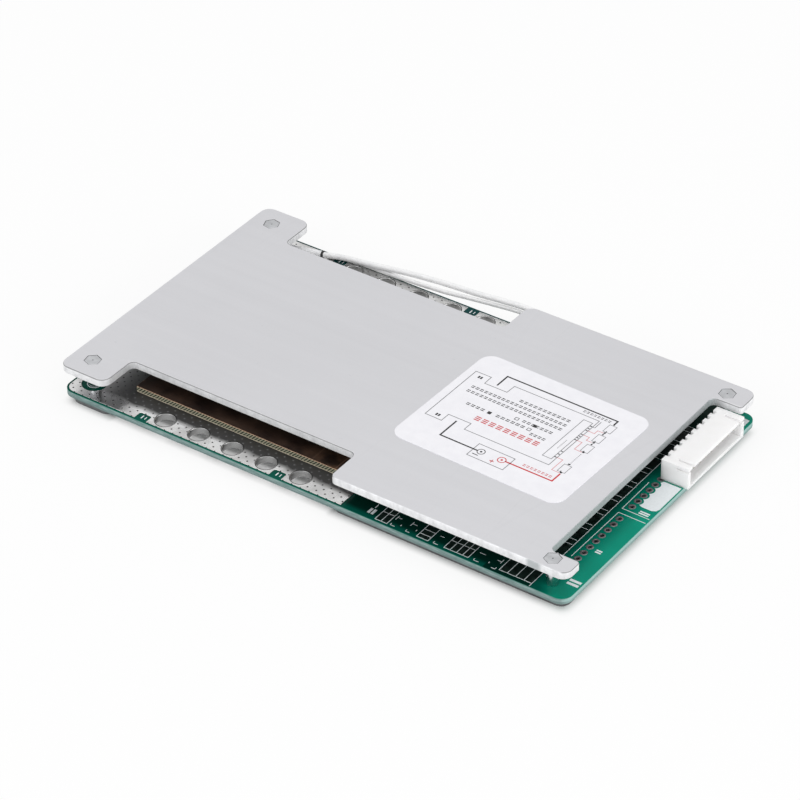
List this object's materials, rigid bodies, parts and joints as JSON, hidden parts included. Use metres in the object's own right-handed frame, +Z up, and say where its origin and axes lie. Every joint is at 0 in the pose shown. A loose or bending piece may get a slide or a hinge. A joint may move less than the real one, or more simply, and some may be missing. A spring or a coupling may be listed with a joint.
{
  "type": "battery management board",
  "caption": "Battery protection circuit board between two notched aluminium heatsink plates, with rows of large cable holes, a balance-lead socket and a temperature lead.",
  "frame": {"origin": "on the underside of the lower heatsink, below the middle of the circuit board", "axes": "+X along the board towards the plug socket, +Y towards the rear cable holes, +Z up"},
  "size_m": [0.146, 0.0876, 0.011],
  "materials": {
    "solder_mask": "glossy green solder mask over glass-fibre laminate",
    "tinned_copper": "bright tinned copper",
    "heatsink_top": "fine satin aluminium sheet",
    "heatsink_bottom": "dark satin aluminium sheet",
    "steel": "bright plated steel",
    "thermal_pad": "soft matt silicone",
    "epoxy": "matt black moulding compound",
    "leads": "tinned leads",
    "laminate": "bare glass-fibre laminate",
    "clad_copper": "dark oxidised copper sheet",
    "shunt_metal": "resistance alloy strip",
    "ceramic": "sintered ceramic",
    "nylon": "natural white nylon",
    "solder": "solder",
    "lead_jacket": "smooth white jacket",
    "sleeve": "white shrink sleeve",
    "black_trim": "matt black",
    "label": "white printed film"
  },
  "bodies": {
    "root": {"circuit_board": "solder_mask", "front_terminal_pad": "tinned_copper", "rear_terminal_pad": "tinned_copper", "lead_hole_lands": "tinned_copper", "top_heatsink": "heatsink_top", "bottom_heatsink": "heatsink_bottom", "clinch_standoffs": "steel", "standoff_screws": "steel", "upper_thermal_pad": "thermal_pad", "lower_thermal_pad": "thermal_pad", "mosfet_bodies": "epoxy", "mosfet_tabs": "leads", "mosfet_leads": "leads", "bus_strip_core": "laminate", "bus_strip_copper": "clad_copper", "shunt_resistors": "shunt_metal", "monitor_chip": "epoxy", "monitor_pins": "leads", "driver_chips": "epoxy", "balance_resistors": "epoxy", "balance_transistors": "epoxy", "filter_capacitors": "ceramic", "protection_diodes": "epoxy", "socket_housing": "nylon", "socket_pins": "leads", "pin_solder": "solder", "sensor_bead": "black_trim", "sensor_sleeve": "sleeve", "sleeve_collar": "black_trim", "sensor_wide_lead": "lead_jacket", "sensor_narrow_lead": "lead_jacket", "label_film": "label"}
  },
  "joints": []
}
